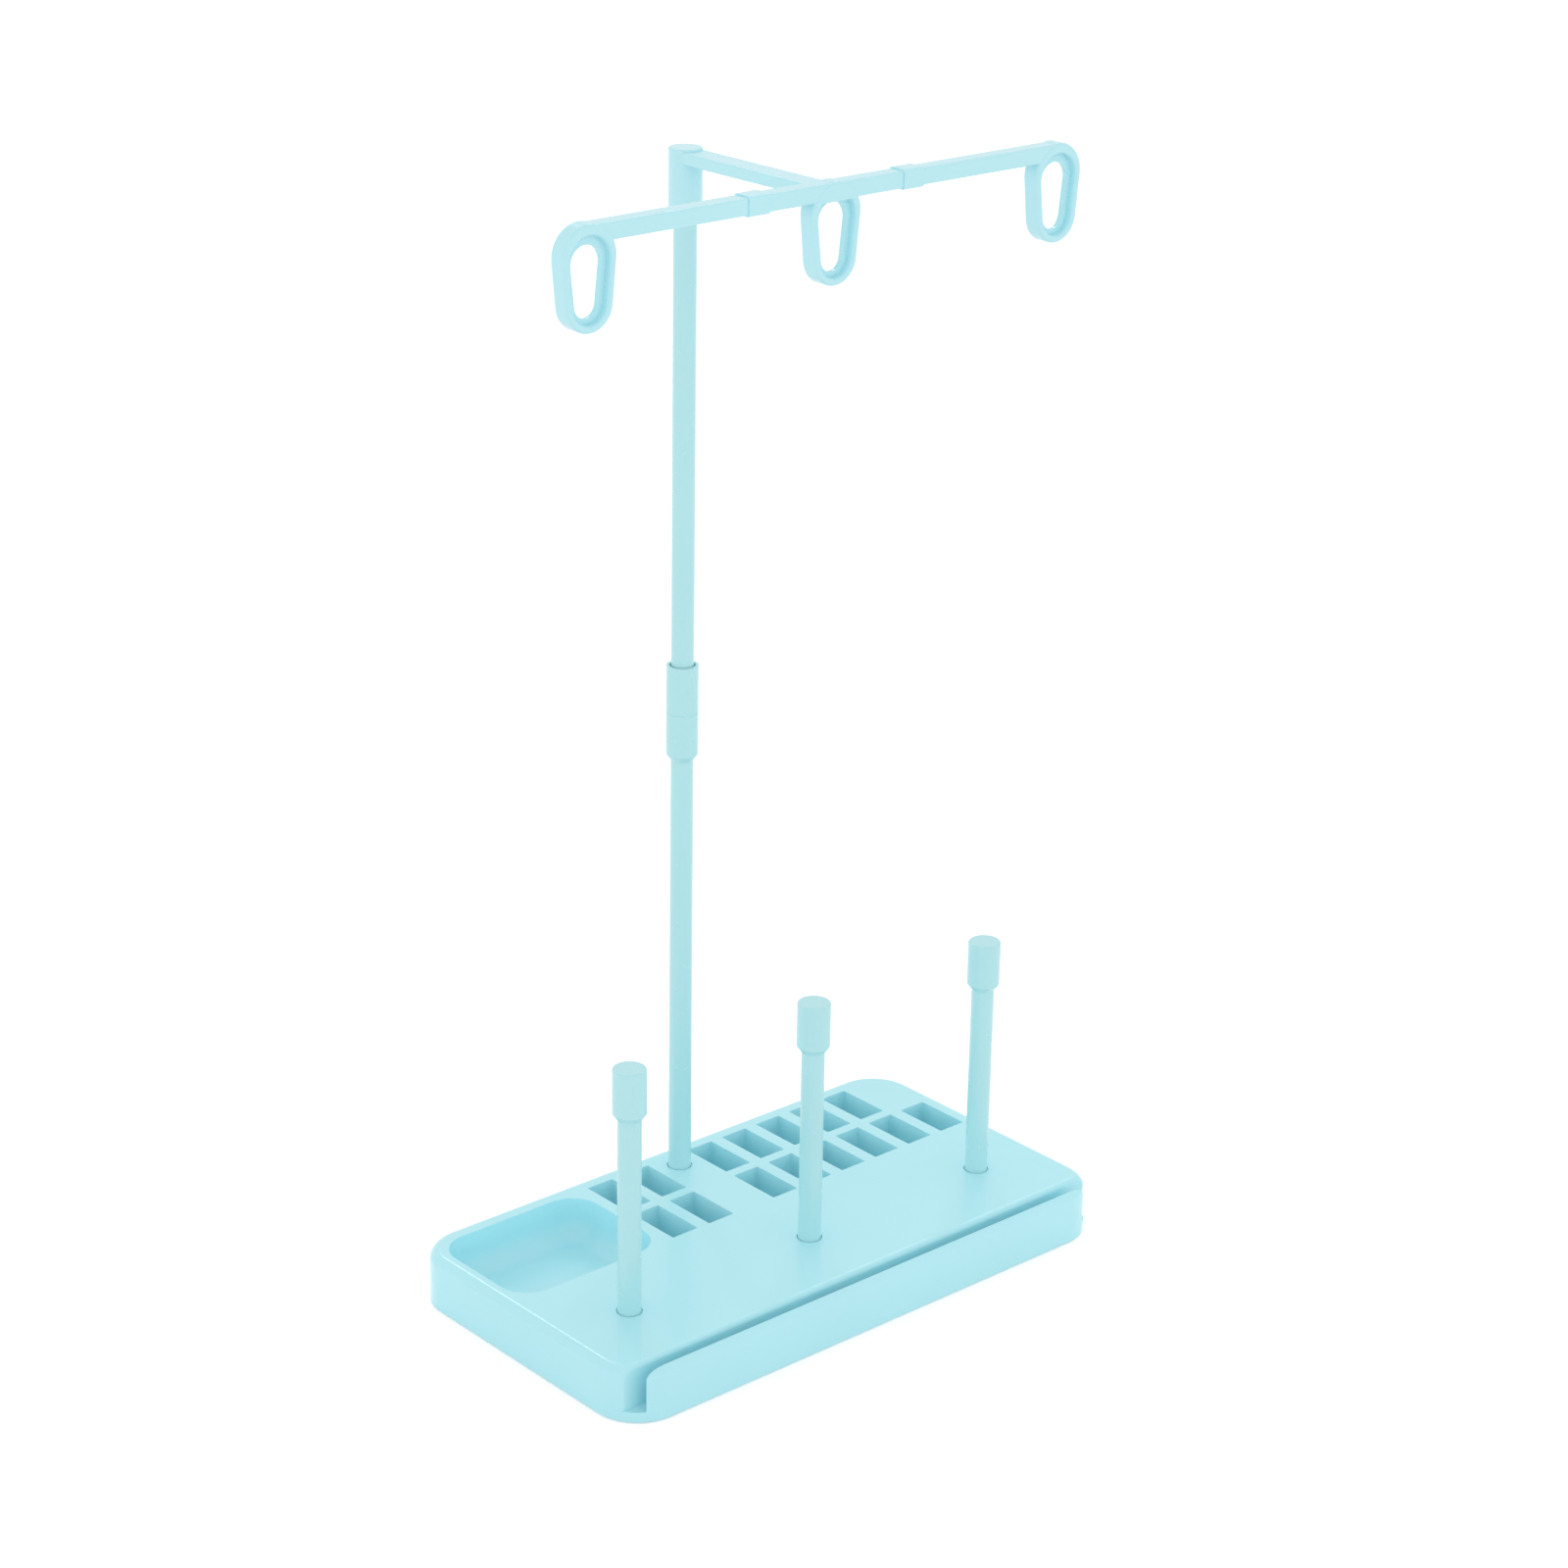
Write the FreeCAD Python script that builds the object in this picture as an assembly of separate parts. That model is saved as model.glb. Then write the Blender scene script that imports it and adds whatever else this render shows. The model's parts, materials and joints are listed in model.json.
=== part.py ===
"""Three-spool thread rack: moulded base, spool pins, two-piece pole and thread guide.

Frame: origin on the table at the middle of the base, +X along the base's long side,
+Y towards the back, where the pole stands, +Z up. All sizes are in millimetres.
"""
import FreeCAD, Part
import math
import os

V = FreeCAD.Vector

# ---------------------------------------------------------------- driving dimensions
# Fits and rod ends
running_gap = 0.05          # radial gap of a shaft in its hole, and of a tenon in its sleeve
rod_end_chamfer = 0.5

# Base moulding
shell_height = 20.5
base_corner_radius = 18.0
base_top_radius = 4.0       # rounding of the upper outer edge
side_wall = 2.0
top_plate = 2.0
rib_thickness = 1.6
rib_clearance = 2.0         # ribs stop this far above the lower rim
boss_wall = 2.2             # round each socket
boss_floor = 1.0            # under each socket

# Anti-slip pads
pad_diameter = 12.0
pad_thickness = 1.5
pad_proud = 0.5             # pads stand this far below the lower rim
pad_inset = 17.0            # pad centre to the base's outer faces
pad_boss_border = 0.8       # the boss above a pad is this much larger all round

# Bobbin slots
slot_width = 12.0           # along X, one bobbin thick
slot_length = 23.2          # along Y, one bobbin across
slot_floor_rise = 4.0       # slot floor above the lower rim
slot_pitch = 17.5           # along X
slot_row_gap = 4.3          # wall between the two rows
slot_rear_margin = 7.5      # rear row to the base's rear face
slot_side_margin = 7.5      # last slot to the base's right face
slot_corner_radius = 0.5
pocket_wall = 1.6
pocket_floor = 2.0
left_columns = 2
right_columns_front = 6
right_columns_rear = 5
pole_slot_gap = 10.0        # pole axis to the nearest slot on either side

# Accessory tray
tray_side_margin = 6.2      # tray to the base's left face
tray_slot_gap = 5.1
tray_front_extra = 0.9      # the tray ends this far in front of the front slot row
tray_corner_radius = 12.0
tray_floor_radius = 9.0
tray_floor_rise = 4.5

# Groove along the front edge
lip_thickness = 2.4
groove_width = 5.6
groove_floor_rise = 4.0
groove_edge_radius = 2.0

# Spool pins and their caps
pin_diameter = 8.6
pin_pitch = 86.0
pin_row_inset = 38.8        # pin axes to the base's front face
pin_slot_gap = 31.6     # pin axes to the front row of slots
pin_visible = 76.4          # base top to cap
pin_seat_rise = 6.0         # socket floor above the lower rim
cap_diameter = 12.3
cap_length = 19.3
cap_chamfer_height = 2.1
cap_lip = 0.25              # radial thickness of the cap's lower rim
cap_roof = 2.5
cap_edge_radius = 0.7

# Ring of clearance at the mouth of each socket in the base
mouth_gap = 0.5
mouth_depth = 0.8

# Pole
pole_diameter = 8.4
pole_root_diameter = 8.8
pole_rear_inset = 14.6      # pole axis to the base's rear face
pole_seat_rise = 5.5
lower_pole_visible = 167.5
upper_pole_visible = 166.0

# Coupling sleeve
coupler_diameter = 11.9
coupler_length = 36.8
coupler_chamfer_height = 2.2
coupler_chamfer_width = 1.45
coupler_stop_thickness = 1.2
coupler_stop_bore = 6.0
coupler_mouth_depth = 1.6
coupler_mouth_gap = 0.6
coupler_seam_depth = 0.12
coupler_seam_height = 0.5

# Guide bracket and guide arms
socket_diameter = 12.1
socket_length = 24.0
socket_roof = 2.2
socket_edge_radius = 0.5
bar_rise = 0.95             # bar top above socket top
bar_height = 6.05
bar_depth = 6.6
bar_edge_radius = 0.8
forward_arm_width = 9.6
forward_arm_height = 4.4
forward_arm_drop = 0.8      # arm top below socket top
sleeve_start = 30.0         # pole axis to the sleeve's inner end, along X
sleeve_length = 9.0
sleeve_proud = 0.45
tenon_length = 8.0
tenon_height = 3.4
tenon_depth = 4.4
loop_spacing = 104.6

# Thread loops
loop_depth = 7.2
loop_rise = 0.35            # loop top above bar top
loop_upper_radius = 11.0
loop_lower_radius = 9.55
loop_centre_drop = 14.85    # between the two centres of the outline
loop_edge_radius = 1.3
loop_rim = 2.6              # width of the rim beside the recess
loop_crown_rim = 3.8        # width of the rim above the recess
loop_recess_depth = 2.8
loop_recess_edge_radius = 1.0
loop_web = 2.3              # width of the thin web between the recess and the hole
loop_hole_below_bar = 0.65
loop_hole_bottom_rise = 4.5     # loop's lowest point to the hole's
middle_recess_below_bar = 0.2   # the middle loop is solid above this, so that the bar runs on

# ---------------------------------------------------------------- derived places
slot_columns_span = (right_columns_front - 1) * slot_pitch + slot_width
half_length = pole_slot_gap + slot_columns_span + slot_side_margin
half_depth = (pin_row_inset + pin_slot_gap + 2 * slot_length + slot_row_gap
              + slot_rear_margin) / 2.0
rim_z = pad_proud
top_z = rim_z + shell_height
slot_floor_z = rim_z + slot_floor_rise
tray_floor_z = rim_z + tray_floor_rise
groove_floor_z = rim_z + groove_floor_rise
pin_seat_z = rim_z + pin_seat_rise
pole_seat_z = rim_z + pole_seat_rise
slot_rear_y = half_depth - slot_rear_margin
slot_front_row_y = slot_rear_y - slot_length - slot_row_gap
slot_front_y = slot_front_row_y - slot_length
left_group_x = -pole_slot_gap - slot_width - (left_columns - 1) * slot_pitch
groove_front_y = -half_depth + lip_thickness
groove_rear_y = groove_front_y + groove_width
pole_y = half_depth - pole_rear_inset
pin_y = -half_depth + pin_row_inset
pin_places = {"left": -pin_pitch, "middle": 0.0, "right": pin_pitch}

cap_bottom_z = top_z + pin_visible
cap_top_z = cap_bottom_z + cap_length
coupler_bottom_z = top_z + lower_pole_visible
coupler_top_z = coupler_bottom_z + coupler_length
coupler_middle_z = (coupler_bottom_z + coupler_top_z) / 2.0
socket_bottom_z = coupler_top_z + upper_pole_visible
socket_top_z = socket_bottom_z + socket_length
bar_top_z = socket_top_z + bar_rise
bar_bottom_z = bar_top_z - bar_height
sleeve_end = sleeve_start + sleeve_length
loop_top_z = bar_top_z + loop_rise
loop_upper_z = loop_top_z - loop_upper_radius
loop_lower_z = loop_upper_z - loop_centre_drop
loop_front_y = pin_y - loop_depth / 2.0
loop_rear_y = pin_y + loop_depth / 2.0


# Cutting and picking
overcut = 1.0               # a cutter runs this far past the face that it opens
same_place = 1e-3


# ---------------------------------------------------------------- shape helpers
def box(x0, x1, y0, y1, z0, z1):
    return Part.makeBox(x1 - x0, y1 - y0, z1 - z0, V(x0, y0, z0))


def cylinder(x, y, z0, z1, diameter):
    return Part.makeCylinder(diameter / 2.0, z1 - z0, V(x, y, z0))


def cone(x, y, z0, z1, lower_diameter, upper_diameter):
    return Part.makeCone(lower_diameter / 2.0, upper_diameter / 2.0, z1 - z0, V(x, y, z0))


def rounded_box(x0, x1, y0, y1, z0, z1, radius):
    """A box whose four upright edges are rounded."""
    solid = box(x0, x1, y0, y1, z0, z1)
    return solid.makeFillet(radius, edges_along(solid, V(0, 0, 1)))


def edges_along(solid, direction):
    return [edge for edge in solid.Edges
            if edge.tangentAt(edge.FirstParameter).cross(direction).Length < same_place]


def edges_at_height(solid, z):
    """Edges that lie wholly in the level plane z."""
    return [edge for edge in solid.Edges
            if abs(edge.BoundBox.ZMin - z) < same_place and abs(edge.BoundBox.ZMax - z) < same_place]


def edges_at_depth(solid, y):
    """Edges that lie wholly in the upright plane y."""
    return [edge for edge in solid.Edges
            if abs(edge.BoundBox.YMin - y) < same_place and abs(edge.BoundBox.YMax - y) < same_place]


def opening_edges_at_depth(solid, y):
    """Edges of the openings in the flat face that lies in the upright plane y."""
    edges = []
    for face in solid.Faces:
        if abs(face.BoundBox.YMin - y) < same_place and abs(face.BoundBox.YMax - y) < same_place:
            for wire in face.Wires:
                if not wire.isSame(face.OuterWire):
                    edges.extend(wire.Edges)
    return edges


def join(first, others):
    return first.fuse(others).removeSplitter()


def tapered_slot(x, y0, y1, upper_z, upper_radius, lower_z, lower_radius):
    """Plate along Y whose outline is two circles of unequal size and their common tangents."""
    drop = upper_z - lower_z
    lean = math.asin((upper_radius - lower_radius) / drop)
    sine = math.sin(lean)
    cosine = math.cos(lean)

    def spot(centre_z, radius, side):
        return V(x + side * radius * cosine, y0, centre_z - radius * sine)

    upper_left = spot(upper_z, upper_radius, -1)
    upper_right = spot(upper_z, upper_radius, 1)
    lower_left = spot(lower_z, lower_radius, -1)
    lower_right = spot(lower_z, lower_radius, 1)
    crown = V(x, y0, upper_z + upper_radius)
    foot = V(x, y0, lower_z - lower_radius)
    outline = Part.Wire([
        Part.Arc(upper_left, crown, upper_right).toShape(),
        Part.LineSegment(upper_right, lower_right).toShape(),
        Part.Arc(lower_right, foot, lower_left).toShape(),
        Part.LineSegment(lower_left, upper_left).toShape(),
    ])
    return Part.Face(outline).extrude(V(0, y1 - y0, 0))


# ---------------------------------------------------------------- base
def slot_corners():
    """Lower left corner of every bobbin slot."""
    corners = []
    for column in range(left_columns):
        for row_y in (slot_front_row_y - slot_length, slot_rear_y - slot_length):
            corners.append((left_group_x + column * slot_pitch, row_y))
    for column in range(right_columns_front):
        corners.append((pole_slot_gap + column * slot_pitch, slot_front_row_y - slot_length))
    for column in range(right_columns_rear):
        corners.append((pole_slot_gap + column * slot_pitch, slot_rear_y - slot_length))
    return corners


def tray_limits():
    x0 = -half_length + tray_side_margin
    x1 = left_group_x - tray_slot_gap
    y0 = slot_front_y - tray_front_extra
    y1 = slot_rear_y
    return x0, x1, y0, y1


def pad_places():
    x = half_length - pad_inset
    y = half_depth - pad_inset
    return {"front_left": (-x, -y), "front_right": (x, -y), "rear_left": (-x, y), "rear_right": (x, y)}


def hollow_underside():
    """The space under the top plate, less every wall, boss and rib that hangs down in it."""
    space = rounded_box(-half_length + side_wall, half_length - side_wall,
                        -half_depth + side_wall, half_depth - side_wall,
                        rim_z - overcut, top_z - top_plate, base_corner_radius - side_wall)
    plate_z = top_z - top_plate / 2.0
    kept = []

    for x, y in slot_corners():
        kept.append(box(x - pocket_wall, x + slot_width + pocket_wall,
                        y - pocket_wall, y + slot_length + pocket_wall,
                        slot_floor_z - pocket_floor, plate_z))

    x0, x1, y0, y1 = tray_limits()
    kept.append(rounded_box(x0 - pocket_wall, x1 + pocket_wall, y0 - pocket_wall, y1 + pocket_wall,
                            tray_floor_z - pocket_floor, plate_z,
                            tray_corner_radius + pocket_wall))
    kept.append(box(-half_length, half_length, -half_depth, groove_rear_y + pocket_wall,
                    groove_floor_z - pocket_floor, plate_z))

    kept.append(cylinder(0, pole_y, pole_seat_z - boss_floor, plate_z,
                         pole_root_diameter + 2 * boss_wall))
    for x in pin_places.values():
        kept.append(cylinder(x, pin_y, pin_seat_z - boss_floor, plate_z,
                             pin_diameter + 2 * boss_wall))
    for x, y in pad_places().values():
        kept.append(cylinder(x, y, pad_thickness, plate_z, pad_diameter + 2 * pad_boss_border))

    rib_z = rim_z + rib_clearance
    half_rib = rib_thickness / 2.0
    kept.append(box(-half_length, half_length, pin_y - half_rib, pin_y + half_rib, rib_z, plate_z))
    for step in (-2, -1, 0, 1, 2):
        x = step * pin_pitch / 2.0
        kept.append(box(x - half_rib, x + half_rib, groove_rear_y, slot_front_y, rib_z, plate_z))
    kept.append(box(-half_rib, half_rib, slot_front_y, half_depth, rib_z, plate_z))

    for solid in kept:
        space = space.cut(solid)
    return space


def socket_space(x, y, diameter, floor_z):
    """A blind round socket with a wider ring of clearance at its mouth."""
    bore = cylinder(x, y, floor_z, top_z + overcut, diameter + 2 * running_gap)
    mouth = cylinder(x, y, top_z - mouth_depth, top_z + overcut, diameter + 2 * mouth_gap)
    return bore.fuse(mouth)


def base_shell():
    shell = rounded_box(-half_length, half_length, -half_depth, half_depth, rim_z, top_z,
                        base_corner_radius)
    shell = shell.makeFillet(base_top_radius, edges_at_height(shell, top_z))

    groove = box(-half_length - overcut, half_length + overcut, groove_front_y, groove_rear_y,
                 groove_floor_z, top_z + overcut)
    shell = shell.cut(groove)
    rear_edges = [edge for edge in edges_at_depth(shell, groove_rear_y)
                  if edge.BoundBox.ZMax > groove_floor_z + same_place]
    shell = shell.makeFillet(groove_edge_radius, rear_edges)

    x0, x1, y0, y1 = tray_limits()
    tray = rounded_box(x0, x1, y0, y1, tray_floor_z, top_z + overcut, tray_corner_radius)
    tray = tray.makeFillet(tray_floor_radius, edges_at_height(tray, tray_floor_z))
    shell = shell.cut(tray)

    for x, y in slot_corners():
        shell = shell.cut(rounded_box(x, x + slot_width, y, y + slot_length,
                                      slot_floor_z, top_z + overcut, slot_corner_radius))

    shell = shell.cut(hollow_underside())
    shell = shell.cut(socket_space(0, pole_y, pole_root_diameter, pole_seat_z))
    for x in pin_places.values():
        shell = shell.cut(socket_space(x, pin_y, pin_diameter, pin_seat_z))
    return shell


def foot_pad(x, y):
    return cylinder(x, y, 0, pad_thickness, pad_diameter)


# ---------------------------------------------------------------- spool pins
def spool_pin(x):
    """A plain rod from the floor of its socket to the roof of its cap."""
    tip_z = cap_top_z - cap_roof
    rod = cylinder(x, pin_y, pin_seat_z, tip_z, pin_diameter)
    ends = edges_at_height(rod, pin_seat_z) + edges_at_height(rod, tip_z)
    return rod.makeChamfer(rod_end_chamfer, ends)


def spool_pin_cap(x):
    bore_diameter = pin_diameter + 2 * running_gap
    chamfer_top_z = cap_bottom_z + cap_chamfer_height
    body = cylinder(x, pin_y, chamfer_top_z, cap_top_z, cap_diameter)
    body = body.makeFillet(cap_edge_radius, edges_at_height(body, cap_top_z))
    skirt = cone(x, pin_y, cap_bottom_z, chamfer_top_z, bore_diameter + 2 * cap_lip, cap_diameter)
    bore = cylinder(x, pin_y, cap_bottom_z - overcut, cap_top_z - cap_roof, bore_diameter)
    return join(body, [skirt]).cut(bore)


# ---------------------------------------------------------------- pole
def lower_pole():
    """Cylindrical root, tapered visible length and cylindrical tip up to the coupler's stop."""
    tip_z = coupler_middle_z - coupler_stop_thickness / 2.0
    root = cylinder(0, pole_y, pole_seat_z, top_z, pole_root_diameter)
    root = root.makeChamfer(rod_end_chamfer, edges_at_height(root, pole_seat_z))
    tip = cylinder(0, pole_y, coupler_bottom_z, tip_z, pole_diameter)
    tip = tip.makeChamfer(rod_end_chamfer, edges_at_height(tip, tip_z))
    shank = cone(0, pole_y, top_z, coupler_bottom_z, pole_root_diameter, pole_diameter)
    return join(root, [shank, tip])


def pole_coupler():
    neck_diameter = coupler_diameter - 2 * coupler_chamfer_width
    chamfer_top_z = coupler_bottom_z + coupler_chamfer_height
    body = cylinder(0, pole_y, chamfer_top_z, coupler_top_z, coupler_diameter)
    body = join(body, [cone(0, pole_y, coupler_bottom_z, chamfer_top_z, neck_diameter, coupler_diameter)])

    half_stop = coupler_stop_thickness / 2.0
    bore_diameter = pole_diameter + 2 * running_gap
    low_z = coupler_bottom_z - overcut
    high_z = coupler_top_z + overcut
    body = body.cut(cylinder(0, pole_y, low_z, coupler_middle_z - half_stop, bore_diameter))
    body = body.cut(cylinder(0, pole_y, coupler_middle_z + half_stop, high_z, bore_diameter))
    body = body.cut(cylinder(0, pole_y, low_z, high_z, coupler_stop_bore))
    body = body.cut(cylinder(0, pole_y, coupler_top_z - coupler_mouth_depth, high_z,
                             pole_diameter + 2 * coupler_mouth_gap))

    seam_top_z = coupler_middle_z + coupler_seam_height
    seam = cylinder(0, pole_y, coupler_middle_z, seam_top_z, coupler_diameter + 2 * overcut)
    seam_core = cylinder(0, pole_y, coupler_middle_z, seam_top_z,
                         coupler_diameter - 2 * coupler_seam_depth)
    return body.cut(seam.cut(seam_core))


def upper_pole():
    foot_z = coupler_middle_z + coupler_stop_thickness / 2.0
    tip_z = socket_top_z - socket_roof
    rod = cylinder(0, pole_y, foot_z, tip_z, pole_diameter)
    return rod.makeChamfer(rod_end_chamfer, edges_at_height(rod, foot_z) + edges_at_height(rod, tip_z))


# ---------------------------------------------------------------- thread guide
def level_bar(x0, x1, depth, z0, z1, radius):
    """A bar along X over the pin row, with its four long edges rounded."""
    bar = box(x0, x1, pin_y - depth / 2.0, pin_y + depth / 2.0, z0, z1)
    return bar.makeFillet(radius, edges_along(bar, V(1, 0, 0)))


def loop_blank(x):
    """A loop before its recesses and its hole are cut."""
    blank = tapered_slot(x, loop_front_y, loop_rear_y, loop_upper_z, loop_upper_radius,
                         loop_lower_z, loop_lower_radius)
    rims = edges_at_depth(blank, loop_front_y) + edges_at_depth(blank, loop_rear_y)
    return blank.makeFillet(loop_edge_radius, rims)


def open_loop(body, x):
    """Cuts a recess into both faces of a loop, and the hole through the thin web between them."""
    recess_upper_radius = loop_upper_radius - loop_rim
    recess_lower_radius = loop_lower_radius - loop_rim
    recess_upper_z = loop_top_z - loop_crown_rim - recess_upper_radius
    for y0, y1, face_y in ((loop_front_y - overcut, loop_front_y + loop_recess_depth, loop_front_y),
                           (loop_rear_y - loop_recess_depth, loop_rear_y + overcut, loop_rear_y)):
        body = body.cut(tapered_slot(x, y0, y1, recess_upper_z, recess_upper_radius,
                                     loop_lower_z, recess_lower_radius))
        body = body.makeFillet(loop_recess_edge_radius, opening_edges_at_depth(body, face_y))

    hole_upper_radius = recess_upper_radius - loop_web
    hole_lower_radius = recess_lower_radius - loop_web
    hole_upper_z = bar_bottom_z - loop_hole_below_bar - hole_upper_radius
    hole_lower_z = loop_lower_z - loop_lower_radius + loop_hole_bottom_rise + hole_lower_radius
    return body.cut(tapered_slot(x, loop_front_y - overcut, loop_rear_y + overcut,
                                 hole_upper_z, hole_upper_radius, hole_lower_z, hole_lower_radius))


def middle_loop():
    """The loop under the bracket's bar, which is left solid where the bar runs through it."""
    blank = loop_blank(0)
    crown = blank.common(box(-loop_upper_radius, loop_upper_radius, loop_front_y, loop_rear_y,
                             bar_bottom_z - middle_recess_below_bar, loop_top_z))
    return join(open_loop(blank, 0), [crown])


def guide_bracket():
    socket = cylinder(0, pole_y, socket_bottom_z, socket_top_z, socket_diameter)
    socket = socket.makeFillet(socket_edge_radius, edges_at_height(socket, socket_top_z))

    arm_top_z = socket_top_z - forward_arm_drop
    half_width = forward_arm_width / 2.0
    forward_arm = box(-half_width, half_width, pin_y, pole_y, arm_top_z - forward_arm_height, arm_top_z)
    forward_arm = forward_arm.makeFillet(bar_edge_radius, edges_along(forward_arm, V(0, 1, 0)))

    pieces = [forward_arm, level_bar(-sleeve_end, sleeve_end, bar_depth, bar_bottom_z, bar_top_z,
                                     bar_edge_radius)]
    for x0, x1 in ((-sleeve_end, -sleeve_start), (sleeve_start, sleeve_end)):
        pieces.append(level_bar(x0, x1, bar_depth + 2 * sleeve_proud, bar_bottom_z - sleeve_proud,
                                bar_top_z + sleeve_proud, bar_edge_radius))
    pieces.append(middle_loop())
    bracket = join(socket, pieces)

    bore = cylinder(0, pole_y, socket_bottom_z - overcut, socket_top_z - socket_roof,
                    pole_diameter + 2 * running_gap)
    bracket = bracket.cut(bore)
    for side in (-1, 1):
        outer = side * (sleeve_end + overcut)
        inner = side * (sleeve_end - tenon_length - running_gap)
        bracket = bracket.cut(tenon(min(outer, inner), max(outer, inner), running_gap))
    return bracket


def tenon(x0, x1, grow):
    """The block that plugs into a sleeve; the sleeve's space is the same block grown by the gap."""
    middle_z = (bar_bottom_z + bar_top_z) / 2.0
    half_height = tenon_height / 2.0 + grow
    half_depth_of_tenon = tenon_depth / 2.0 + grow
    return box(x0, x1, pin_y - half_depth_of_tenon, pin_y + half_depth_of_tenon,
               middle_z - half_height, middle_z + half_height)


def guide_arm(side):
    """A plug-in arm; side is -1 for the left one and 1 for the right one."""
    root = side * sleeve_end
    loop_x = side * loop_spacing
    tip = side * (sleeve_end - tenon_length)
    bar = level_bar(min(root, loop_x), max(root, loop_x), bar_depth, bar_bottom_z, bar_top_z,
                    bar_edge_radius)
    arm = open_loop(join(bar, [loop_blank(loop_x)]), loop_x)
    return join(arm, [tenon(min(root, tip), max(root, tip), 0.0)])


# ---------------------------------------------------------------- write every piece
def all_pieces():
    pieces = {"base_shell": base_shell()}
    for place, (x, y) in pad_places().items():
        pieces["foot_pad_" + place] = foot_pad(x, y)
    for place, x in pin_places.items():
        pieces["spool_pin_" + place] = spool_pin(x)
        pieces["spool_pin_cap_" + place] = spool_pin_cap(x)
    pieces["lower_pole"] = lower_pole()
    pieces["pole_coupler"] = pole_coupler()
    pieces["upper_pole"] = upper_pole()
    pieces["guide_bracket"] = guide_bracket()
    pieces["left_guide_arm"] = guide_arm(-1)
    pieces["right_guide_arm"] = guide_arm(1)
    return pieces


os.makedirs("parts", exist_ok=True)
for name, shape in all_pieces().items():
    if not shape.isValid() or len(shape.Solids) != 1:
        print("CHECK", name, "valid", shape.isValid(), "solids", len(shape.Solids))
    shape.exportStep("parts/" + name + ".step")
    print(name, round(shape.Volume / 1000.0, 2), "cm3")
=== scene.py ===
"""Looks of the thread rack: light-aqua moulded plastic in soft white studio light.

Everything is in metres, in the part's own frame: +X along the base, +Y to the back, +Z up.
"""
import json
import math

import bpy
from mathutils import Matrix, Vector

# ---------------------------------------------------------------- camera
PHOTO_WIDTH = 1600.0            # pixels
FOCAL_LENGTH_PX = 3733.3
SENSOR_WIDTH_MM = 36.0
CAMERA_PLACE = Vector((-0.8093, -0.9154, 0.6725))
CAMERA_AZIMUTH = math.radians(-41.70)
CAMERA_ELEVATION = math.radians(21.40)
CAMERA_ROLL = math.radians(0.97)

# ---------------------------------------------------------------- moulded plastic
PLASTICS = {                    # by slot: name, linear colour, roughness, scale of the pigment flow
    "base_plastic": ("aqua_base_plastic", (0.50, 0.905, 0.98), 0.20, 14.0),
    "rod_plastic": ("aqua_rod_plastic", (0.49, 0.84, 0.88), 0.24, 20.0),
    "guide_plastic": ("aqua_guide_plastic", (0.53, 0.89, 0.96), 0.20, 20.0),
}
PLASTIC_IOR = 1.49
FLOW_TINTS = (0.985, 1.015)     # darkest and lightest tone, as factors of the colour
FLOW_DETAIL = 3.0
MOTTLE_RANGE = (0.85, 1.15)     # factors of the roughness
MOTTLE_NOISE = (260.0, 2.0)     # scale per metre and detail, as in each pattern below
RIPPLE_NOISE = (140.0, 1.0)
RIPPLE_BUMP = (0.15, 0.00003)   # strength, and height in metres, as in each bump below
GRAIN_NOISE = (2600.0, 2.0)
GRAIN_BUMP = (0.15, 0.00001)

# ---------------------------------------------------------------- pad rubber
PAD_GREY = (0.58, 0.60, 0.60)   # linear
PAD_ROUGHNESS = 0.75
PAD_TINTS = (0.92, 1.05)
PAD_TONE_NOISE = (420.0, 4.0)
STIPPLE_NOISE = (2200.0, 2.0)
STIPPLE_BUMP = (0.5, 0.00005)

# ---------------------------------------------------------------- edges
EDGE_WIDTHS = {                 # by slot: bevel on the CAD's corners, 0 for none
    "base_plastic": 0.00025,
    "rod_plastic": 0,
    "guide_plastic": 0.00015,
    "pad_rubber": 0.0003,
}
EDGE_ANGLE = math.radians(30.0)
EDGE_SEGMENTS = 2
WELD_GAP = 0.000001

# ---------------------------------------------------------------- light and floor
WHITE = (1.0, 1.0, 1.0)
SKY_LEVEL = 0.66                # light from straight above
HORIZON_LEVEL = 1.22            # light from the sides
FLOOR_ALBEDO = 0.90
FLOOR_FILL = 0.40               # lifts the floor to white for the camera, and leaves its shadow
FLOOR_SIZE = 12.0
LAMP_STRENGTH = 0.10
LAMP_ANGLE = math.radians(6.0)
LAMPS_FROM = {                  # behind and above: they draw thin highlights along rounded edges
    "side_edge_lamp": Vector((0.35, 0.70, 0.63)),
    "front_edge_lamp": Vector((0.62, 0.42, 0.67)),
}

# ---------------------------------------------------------------- shader values
OPAQUE = (1.0,)                 # the fourth value of a colour
NOISE_SPREAD = (0.3, 0.7)       # where nearly all of a noise pattern's values lie


# ---------------------------------------------------------------- node helpers
def link(tree, source, target):
    tree.links.new(source, target)


def new_node(tree, kind, **values):
    """A node with some of its unlinked sockets set by name."""
    made = tree.nodes.new(kind)
    for name, value in values.items():
        made.inputs[name.replace("_", " ")].default_value = value
    return made


def math_node(tree, operation):
    made = tree.nodes.new("ShaderNodeMath")
    made.operation = operation
    return made


def noise(tree, place, pattern):
    scale, detail = pattern
    made = new_node(tree, "ShaderNodeTexNoise", Scale=scale, Detail=detail)
    link(tree, place, made.inputs["Vector"])
    return made.outputs["Fac"]


def remap(tree, value, source, target):
    """A value moved from one range to another, and held inside it."""
    made = new_node(tree, "ShaderNodeMapRange", From_Min=source[0], From_Max=source[1],
                    To_Min=target[0], To_Max=target[1])
    link(tree, value, made.inputs["Value"])
    return made.outputs["Result"]


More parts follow.
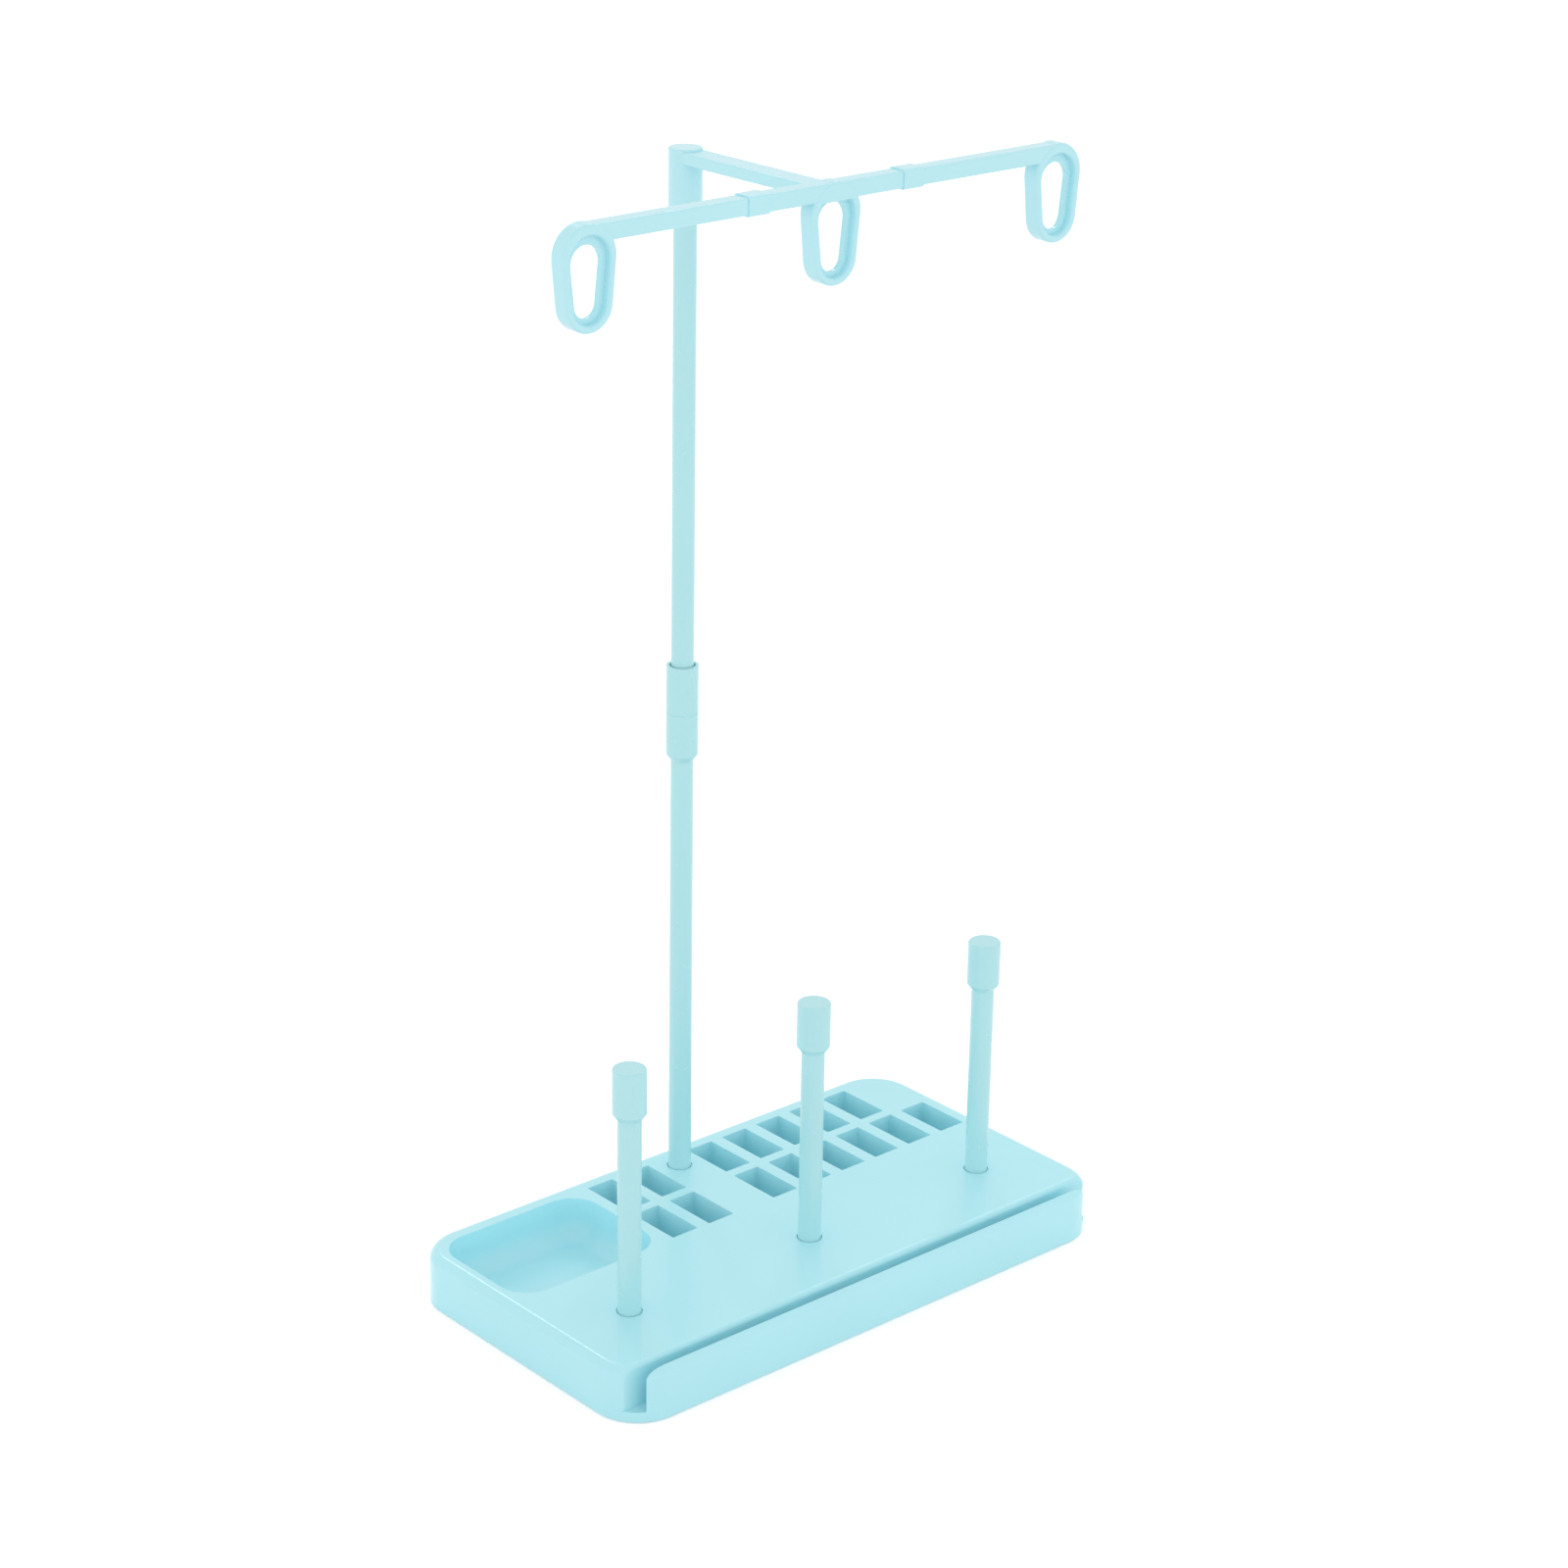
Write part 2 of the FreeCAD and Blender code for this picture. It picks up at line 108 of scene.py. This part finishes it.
def bump(tree, height, size):
    strength, distance = size
    made = new_node(tree, "ShaderNodeBump", Strength=strength, Distance=distance)
    link(tree, height, made.inputs["Height"])
    return made


def tinted(colour, factor):
    return tuple(min(1.0, channel * factor) for channel in colour) + OPAQUE


# ---------------------------------------------------------------- materials
def blank_material(name):
    material = bpy.data.materials.new(name)
    material.use_nodes = True
    tree = material.node_tree
    shader = tree.nodes["Principled BSDF"]
    place = tree.nodes.new("ShaderNodeTexCoord").outputs["Object"]
    return material, tree, shader, place


def colour_drift(tree, shader, place, colour, tints, pattern):
    """Base colour that drifts between a darker and a lighter tone."""
    mix = tree.nodes.new("ShaderNodeMix")
    mix.data_type = "RGBA"
    mix.inputs["A"].default_value = tinted(colour, tints[0])
    mix.inputs["B"].default_value = tinted(colour, tints[1])
    share = remap(tree, noise(tree, place, pattern), NOISE_SPREAD, (0.0, 1.0))
    link(tree, share, mix.inputs["Factor"])
    link(tree, mix.outputs["Result"], shader.inputs["Base Color"])


def moulded_plastic(name, colour, roughness, flow_scale):
    """Glossy injection-moulded plastic: faint pigment flow, satin mottling and a slight ripple."""
    material, tree, shader, place = blank_material(name)
    colour_drift(tree, shader, place, colour, FLOW_TINTS, (flow_scale, FLOW_DETAIL))

    limits = [roughness * factor for factor in MOTTLE_RANGE]
    mottle = remap(tree, noise(tree, place, MOTTLE_NOISE), NOISE_SPREAD, limits)
    link(tree, mottle, shader.inputs["Roughness"])

    ripple = bump(tree, noise(tree, place, RIPPLE_NOISE), RIPPLE_BUMP)
    grain = bump(tree, noise(tree, place, GRAIN_NOISE), GRAIN_BUMP)
    link(tree, ripple.outputs["Normal"], grain.inputs["Normal"])
    link(tree, grain.outputs["Normal"], shader.inputs["Normal"])

    shader.inputs["IOR"].default_value = PLASTIC_IOR
    return material


def pad_rubber(name, colour):
    """Matt rubber with a fine stipple."""
    material, tree, shader, place = blank_material(name)
    colour_drift(tree, shader, place, colour, PAD_TINTS, PAD_TONE_NOISE)
    stipple = bump(tree, noise(tree, place, STIPPLE_NOISE), STIPPLE_BUMP)
    link(tree, stipple.outputs["Normal"], shader.inputs["Normal"])
    shader.inputs["Roughness"].default_value = PAD_ROUGHNESS
    return material


def seen_directly(tree):
    """1 for the camera's own rays and for those that reach it by gloss or through glass."""
    path = tree.nodes.new("ShaderNodeLightPath")
    total = path.outputs["Is Camera Ray"]
    for name in ("Is Glossy Ray", "Is Transmission Ray"):
        largest = math_node(tree, "MAXIMUM")
        link(tree, total, largest.inputs[0])
        link(tree, path.outputs[name], largest.inputs[1])
        total = largest.outputs["Value"]
    return total


def floor_white(name):
    """Pale floor that shows white to the camera outside the object's shadow."""
    material = bpy.data.materials.new(name)
    material.use_nodes = True
    tree = material.node_tree
    tree.nodes.remove(tree.nodes["Principled BSDF"])
    surface = new_node(tree, "ShaderNodeBsdfDiffuse", Color=(FLOOR_ALBEDO,) * 3 + OPAQUE)
    fill = new_node(tree, "ShaderNodeEmission", Color=WHITE + OPAQUE)
    strength = math_node(tree, "MULTIPLY")
    link(tree, seen_directly(tree), strength.inputs[0])
    strength.inputs[1].default_value = FLOOR_FILL
    link(tree, strength.outputs["Value"], fill.inputs["Strength"])
    both = tree.nodes.new("ShaderNodeAddShader")
    link(tree, surface.outputs["BSDF"], both.inputs[0])
    link(tree, fill.outputs["Emission"], both.inputs[1])
    link(tree, both.outputs["Shader"], tree.nodes["Material Output"].inputs["Surface"])
    return material


# ---------------------------------------------------------------- finish of the CAD pieces
def wear(node, material, edge_width):
    """Gives a node its material, and bevels its sharp corners where a width is given."""
    piece = frame["nodes"][node]
    if not piece.material_slots:
        piece.data.materials.append(material)
    for place in piece.material_slots:
        place.material = material

    if not edge_width:
        return
    weld = piece.modifiers.new("weld", "WELD")
    weld.merge_threshold = WELD_GAP
    soften = piece.modifiers.new("soften", "BEVEL")
    soften.width = edge_width
    soften.segments = EDGE_SEGMENTS
    soften.limit_method = "ANGLE"
    soften.angle_limit = EDGE_ANGLE
    shade = piece.modifiers.new("shade", "WEIGHTED_NORMAL")
    shade.keep_sharp = False


def dress_object():
    materials = {slot: moulded_plastic(*facts) for slot, facts in PLASTICS.items()}
    materials["pad_rubber"] = pad_rubber("grey_pad_rubber", PAD_GREY)
    for subpart in frame["record"]["subparts"]:
        slot = subpart["material_slot"]
        wear(subpart["node"], materials[slot], EDGE_WIDTHS[slot])


# ---------------------------------------------------------------- surroundings
def add_floor():
    half = FLOOR_SIZE / 2.0
    mesh = bpy.data.meshes.new("floor")
    mesh.from_pydata([(-half, -half, 0), (half, -half, 0), (half, half, 0), (-half, half, 0)],
                     [], [(0, 1, 2, 3)])
    floor = bpy.data.objects.new("floor", mesh)
    bpy.context.scene.collection.objects.link(floor)
    mesh.materials.append(floor_white("white_floor"))


def add_world():
    """White all round for the camera; as light, brighter from the sides than from above."""
    world = bpy.data.worlds.new("studio")
    bpy.context.scene.world = world
    world.use_nodes = True
    tree = world.node_tree
    tree.nodes.clear()
    shown = new_node(tree, "ShaderNodeBackground", Color=WHITE + OPAQUE, Strength=1.0)

    direction = tree.nodes.new("ShaderNodeTexCoord").outputs["Generated"]
    split = tree.nodes.new("ShaderNodeSeparateXYZ")
    link(tree, direction, split.inputs["Vector"])
    level = remap(tree, split.outputs["Z"], (0.0, 1.0), (HORIZON_LEVEL, SKY_LEVEL))
    lighting = new_node(tree, "ShaderNodeBackground", Color=WHITE + OPAQUE)
    link(tree, level, lighting.inputs["Strength"])

    choice = tree.nodes.new("ShaderNodeMixShader")
    link(tree, seen_directly(tree), choice.inputs["Fac"])
    link(tree, lighting.outputs["Background"], choice.inputs[1])
    link(tree, shown.outputs["Background"], choice.inputs[2])
    output = tree.nodes.new("ShaderNodeOutputWorld")
    link(tree, choice.outputs["Shader"], output.inputs["Surface"])


def add_lamps():
    for name, direction in LAMPS_FROM.items():
        lamp_data = bpy.data.lights.new(name, "SUN")
        lamp_data.energy = LAMP_STRENGTH
        lamp_data.angle = LAMP_ANGLE
        lamp = bpy.data.objects.new(name, lamp_data)
        lamp.rotation_euler = direction.to_track_quat("Z", "Y").to_euler()
        bpy.context.scene.collection.objects.link(lamp)


def add_camera():
    back = Vector((math.sin(CAMERA_AZIMUTH) * math.cos(CAMERA_ELEVATION),
                   -math.cos(CAMERA_AZIMUTH) * math.cos(CAMERA_ELEVATION),
                   math.sin(CAMERA_ELEVATION)))
    level_right = Vector((0, 0, 1)).cross(back).normalized()
    level_up = back.cross(level_right)
    right = math.cos(CAMERA_ROLL) * level_right + math.sin(CAMERA_ROLL) * level_up
    up = back.cross(right)
    camera_data = bpy.data.cameras.new("camera")
    camera_data.sensor_width = SENSOR_WIDTH_MM
    camera_data.lens = FOCAL_LENGTH_PX / PHOTO_WIDTH * SENSOR_WIDTH_MM
    camera = bpy.data.objects.new("camera", camera_data)
    turn = Matrix((right, up, back)).transposed().to_4x4()
    camera.matrix_world = Matrix.Translation(CAMERA_PLACE) @ turn
    bpy.context.scene.collection.objects.link(camera)
    bpy.context.scene.camera = camera


# ---------------------------------------------------------------- the scene
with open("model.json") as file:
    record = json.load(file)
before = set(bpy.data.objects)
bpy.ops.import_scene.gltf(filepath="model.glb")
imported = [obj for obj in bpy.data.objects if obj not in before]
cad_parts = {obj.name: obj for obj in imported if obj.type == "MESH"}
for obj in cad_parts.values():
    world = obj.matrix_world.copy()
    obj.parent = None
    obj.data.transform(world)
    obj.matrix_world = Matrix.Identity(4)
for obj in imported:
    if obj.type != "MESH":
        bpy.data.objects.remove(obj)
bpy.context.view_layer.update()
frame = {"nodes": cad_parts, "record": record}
dress_object()
add_floor()
add_world()
add_lamps()
add_camera()
bpy.context.scene.view_settings.view_transform = "Standard"
